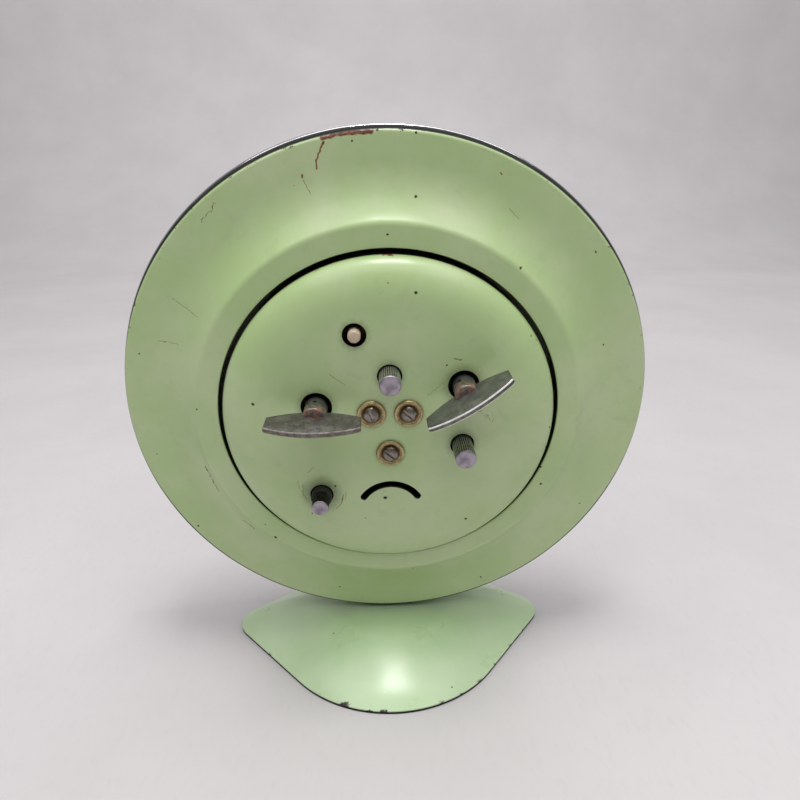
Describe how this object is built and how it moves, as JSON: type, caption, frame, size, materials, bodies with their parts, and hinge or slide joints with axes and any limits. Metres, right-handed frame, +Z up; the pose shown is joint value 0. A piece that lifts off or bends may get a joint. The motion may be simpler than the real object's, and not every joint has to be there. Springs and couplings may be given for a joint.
{
  "type": "kitchen alarm clock",
  "caption": "Wind-up kitchen alarm clock: round dished metal case on a pressed foot, domed bell back with winding keys, setting knobs, stop pin and regulator slot.",
  "frame": {"origin": "centre of the part's footprint, on the surface that the foot stands on", "axes": "+Z up, -Y the way the dial faces, +Y the side of the keys and knobs, +X to the right as seen from the dial side"},
  "size_m": [0.151, 0.0625, 0.1613],
  "materials": {
    "green_enamel": "pastel green stove enamel, gloss, chipped at the edges",
    "chrome_trim": "bright chrome plate, lightly pitted",
    "clear_glass": "clear domed glass",
    "dial_paint": "satin cream with dark printed numbers",
    "brass": "plain rolled brass",
    "brass_washer": "tarnished yellow rim round an insulating centre",
    "steel": "turned steel",
    "screw_steel": "worn nickel plate over steel",
    "spring_steel": "blued spring steel",
    "key_steel": "dull pitted steel with bright edges",
    "hub_steel": "dark steel with rust in the slot",
    "knob_steel": "nickelled steel, knurled",
    "cream_plastic": "aged cream plastic",
    "black_paint": "satin black",
    "alarm_paint": "satin red"
  },
  "bodies": {
    "case": {"rear_case": "green_enamel", "bezel": "chrome_trim", "glass": "clear_glass", "dial_ring": "brass", "dial": "dial_paint", "foot": "green_enamel", "foot_bracket": "hub_steel", "foot_screw": "steel", "foot_nut": "steel", "back_bell": "green_enamel", "bell_post": "brass", "bell_washers": "brass_washer", "bell_screws": "screw_steel", "front_plate": "brass", "back_plate": "brass", "pillars": "steel", "plate_screws": "steel", "case_posts": "steel", "post_nuts": "steel", "time_mainspring": "spring_steel", "alarm_mainspring": "spring_steel", "hairspring": "spring_steel"},
    "time_winder": {"time_key": "key_steel", "time_arbor": "hub_steel", "time_ratchet": "steel"},
    "alarm_winder": {"alarm_key": "key_steel", "alarm_arbor": "hub_steel", "alarm_ratchet": "steel"},
    "great_wheel": {"time_great_wheel": "brass"},
    "time_pawl": {"time_click": "steel"},
    "alarm_drive": {"alarm_great_wheel": "brass"},
    "alarm_pawl": {"alarm_click": "steel"},
    "alarm_escapement": {"alarm_escape_wheel": "brass"},
    "hammer": {"alarm_hammer": "steel"},
    "hand_setter": {"hand_set_knob": "knob_steel", "hand_set_arbor": "steel"},
    "alarm_setter": {"alarm_set_knob": "knob_steel", "alarm_set_arbor": "steel"},
    "selector": {"selector_knob": "knob_steel", "selector_arbor": "steel"},
    "stop_button": {"stop_cap": "cream_plastic", "stop_rod": "steel"},
    "regulator_lever": {"regulator": "steel"},
    "centre_train": {"centre_wheel": "brass"},
    "third_train": {"third_wheel": "brass"},
    "fourth_train": {"fourth_wheel": "brass"},
    "escape_train": {"escape_wheel": "brass"},
    "pallets": {"pallet_lever": "brass"},
    "balance": {"balance_wheel": "brass"},
    "minute": {"minute_hand": "black_paint", "cannon_pinion": "steel"},
    "minute_reduction": {"minute_wheel": "brass"},
    "hour": {"hour_hand": "black_paint", "hour_wheel": "brass"},
    "alarm_indicator": {"alarm_hand": "alarm_paint", "alarm_wheel": "brass"}
  },
  "joints": [
    {"name": "time_key_turn", "type": "hinge", "parent": "case", "child": "time_winder", "pos_m": [0.0194, 0.00197, 0.09279], "axis": [0, 0.9962, -0.0872], "range_deg": [0, 1800]},
    {"name": "alarm_key_turn", "type": "hinge", "parent": "case", "child": "alarm_winder", "pos_m": [-0.0194, 0.00246, 0.09837], "axis": [0, 0.9962, -0.0872], "range_deg": [0, 1440]},
    {"name": "minute_hand_turn", "type": "hinge", "parent": "case", "child": "minute", "pos_m": [0, 0.00135, 0.08572], "axis": [0, 0.9962, -0.0872], "continuous": true},
    {"name": "minute_wheel_turn", "type": "hinge", "parent": "case", "child": "minute_reduction", "pos_m": [0.00875, 0.00193, 0.09236], "axis": [0, 0.9962, -0.0872], "continuous": true},
    {"name": "hour_hand_turn", "type": "hinge", "parent": "case", "child": "hour", "pos_m": [0, 0.00135, 0.08572], "axis": [0, 0.9962, -0.0872], "continuous": true},
    {"name": "hand_set_turn", "type": "hinge", "parent": "case", "child": "hand_setter", "pos_m": [0, 0.00271, 0.10126], "axis": [0, 0.9962, -0.0872], "continuous": true},
    {"name": "alarm_hand_turn", "type": "hinge", "parent": "case", "child": "alarm_indicator", "pos_m": [0, 0.00135, 0.08572], "axis": [0, 0.9962, -0.0872], "continuous": true},
    {"name": "alarm_set_turn", "type": "hinge", "parent": "case", "child": "alarm_setter", "pos_m": [-0.0197, 0.00091, 0.08074], "axis": [0, 0.9962, -0.0872], "continuous": true},
    {"name": "selector_turn", "type": "hinge", "parent": "case", "child": "selector", "pos_m": [0.0195, -0.00043, 0.0654], "axis": [0, 0.9962, -0.0872], "range_deg": [0, 90]},
    {"name": "stop_slide", "type": "slide", "parent": "case", "child": "stop_button", "axis": [0, 0.9962, -0.0872], "range_m": [-0.0025, 0], "stiffness_N_per_m": 60},
    {"name": "regulator_swing", "type": "hinge", "parent": "case", "child": "regulator_lever", "pos_m": [0, -0.00094, 0.05952], "axis": [0, 0.9962, -0.0872], "range_deg": [-45, 45]},
    {"name": "fourth_wheel_turn", "type": "hinge", "parent": "case", "child": "fourth_train", "pos_m": [-0.0012, -0.00001, 0.07018], "axis": [0, 0.9962, -0.0872], "continuous": true},
    {"name": "third_wheel_turn", "type": "hinge", "parent": "case", "child": "third_train", "pos_m": [0.0105, 0.0004, 0.07486], "axis": [0, 0.9962, -0.0872], "continuous": true},
    {"name": "centre_wheel_turn", "type": "hinge", "parent": "case", "child": "centre_train", "pos_m": [0, 0.00135, 0.08572], "axis": [0, 0.9962, -0.0872], "continuous": true},
    {"name": "great_wheel_turn", "type": "hinge", "parent": "case", "child": "great_wheel", "pos_m": [0.0194, 0.00197, 0.09279], "axis": [0, 0.9962, -0.0872], "continuous": true},
    {"name": "escape_wheel_turn", "type": "hinge", "parent": "case", "child": "escape_train", "pos_m": [-0.0102, -0.00025, 0.06739], "axis": [0, 0.9962, -0.0872], "continuous": true},
    {"name": "pallet_swing", "type": "hinge", "parent": "case", "child": "pallets", "pos_m": [-0.0096, -0.00085, 0.06061], "axis": [0, 0.9962, -0.0872], "range_deg": [-4, 4]},
    {"name": "balance_swing", "type": "hinge", "parent": "case", "child": "balance", "pos_m": [0, -0.00094, 0.05952], "axis": [0, 0.9962, -0.0872], "range_deg": [-140, 140], "stiffness_Nm_per_rad": 0.000005},
    {"name": "alarm_wheel_turn", "type": "hinge", "parent": "case", "child": "alarm_drive", "pos_m": [-0.0194, 0.00246, 0.09837], "axis": [0, 0.9962, -0.0872], "continuous": true},
    {"name": "alarm_escape_turn", "type": "hinge", "parent": "case", "child": "alarm_escapement", "pos_m": [-0.0125, 0.00383, 0.11411], "axis": [0, 0.9962, -0.0872], "continuous": true},
    {"name": "hammer_swing", "type": "hinge", "parent": "case", "child": "hammer", "pos_m": [-0.0035, 0.00405, 0.1166], "axis": [0, 0.9962, -0.0872], "range_deg": [-6, 10]},
    {"name": "time_click_lift", "type": "hinge", "parent": "great_wheel", "child": "time_pawl", "pos_m": [0.0244, 0.00272, 0.10142], "axis": [0, 0.9962, -0.0872], "range_deg": [0, 10]},
    {"name": "alarm_click_lift", "type": "hinge", "parent": "alarm_drive", "child": "alarm_pawl", "pos_m": [-0.0244, 0.00321, 0.107], "axis": [0, 0.9962, -0.0872], "range_deg": [0, 10]}
  ],
  "couplings": [
    {"joint": "minute_wheel_turn", "follows": "minute_hand_turn", "ratio": -0.375},
    {"joint": "hour_hand_turn", "follows": "minute_hand_turn", "ratio": 0.083333},
    {"joint": "hand_set_turn", "follows": "minute_hand_turn", "ratio": 0.66667},
    {"joint": "alarm_set_turn", "follows": "alarm_hand_turn", "ratio": -3.7647},
    {"joint": "escape_wheel_turn", "follows": "fourth_wheel_turn", "ratio": -8},
    {"joint": "third_wheel_turn", "follows": "fourth_wheel_turn", "ratio": -0.13333},
    {"joint": "centre_wheel_turn", "follows": "fourth_wheel_turn", "ratio": 0.016667},
    {"joint": "great_wheel_turn", "follows": "fourth_wheel_turn", "ratio": -0.0025},
    {"joint": "alarm_escape_turn", "follows": "alarm_wheel_turn", "ratio": -7.1429}
  ]
}
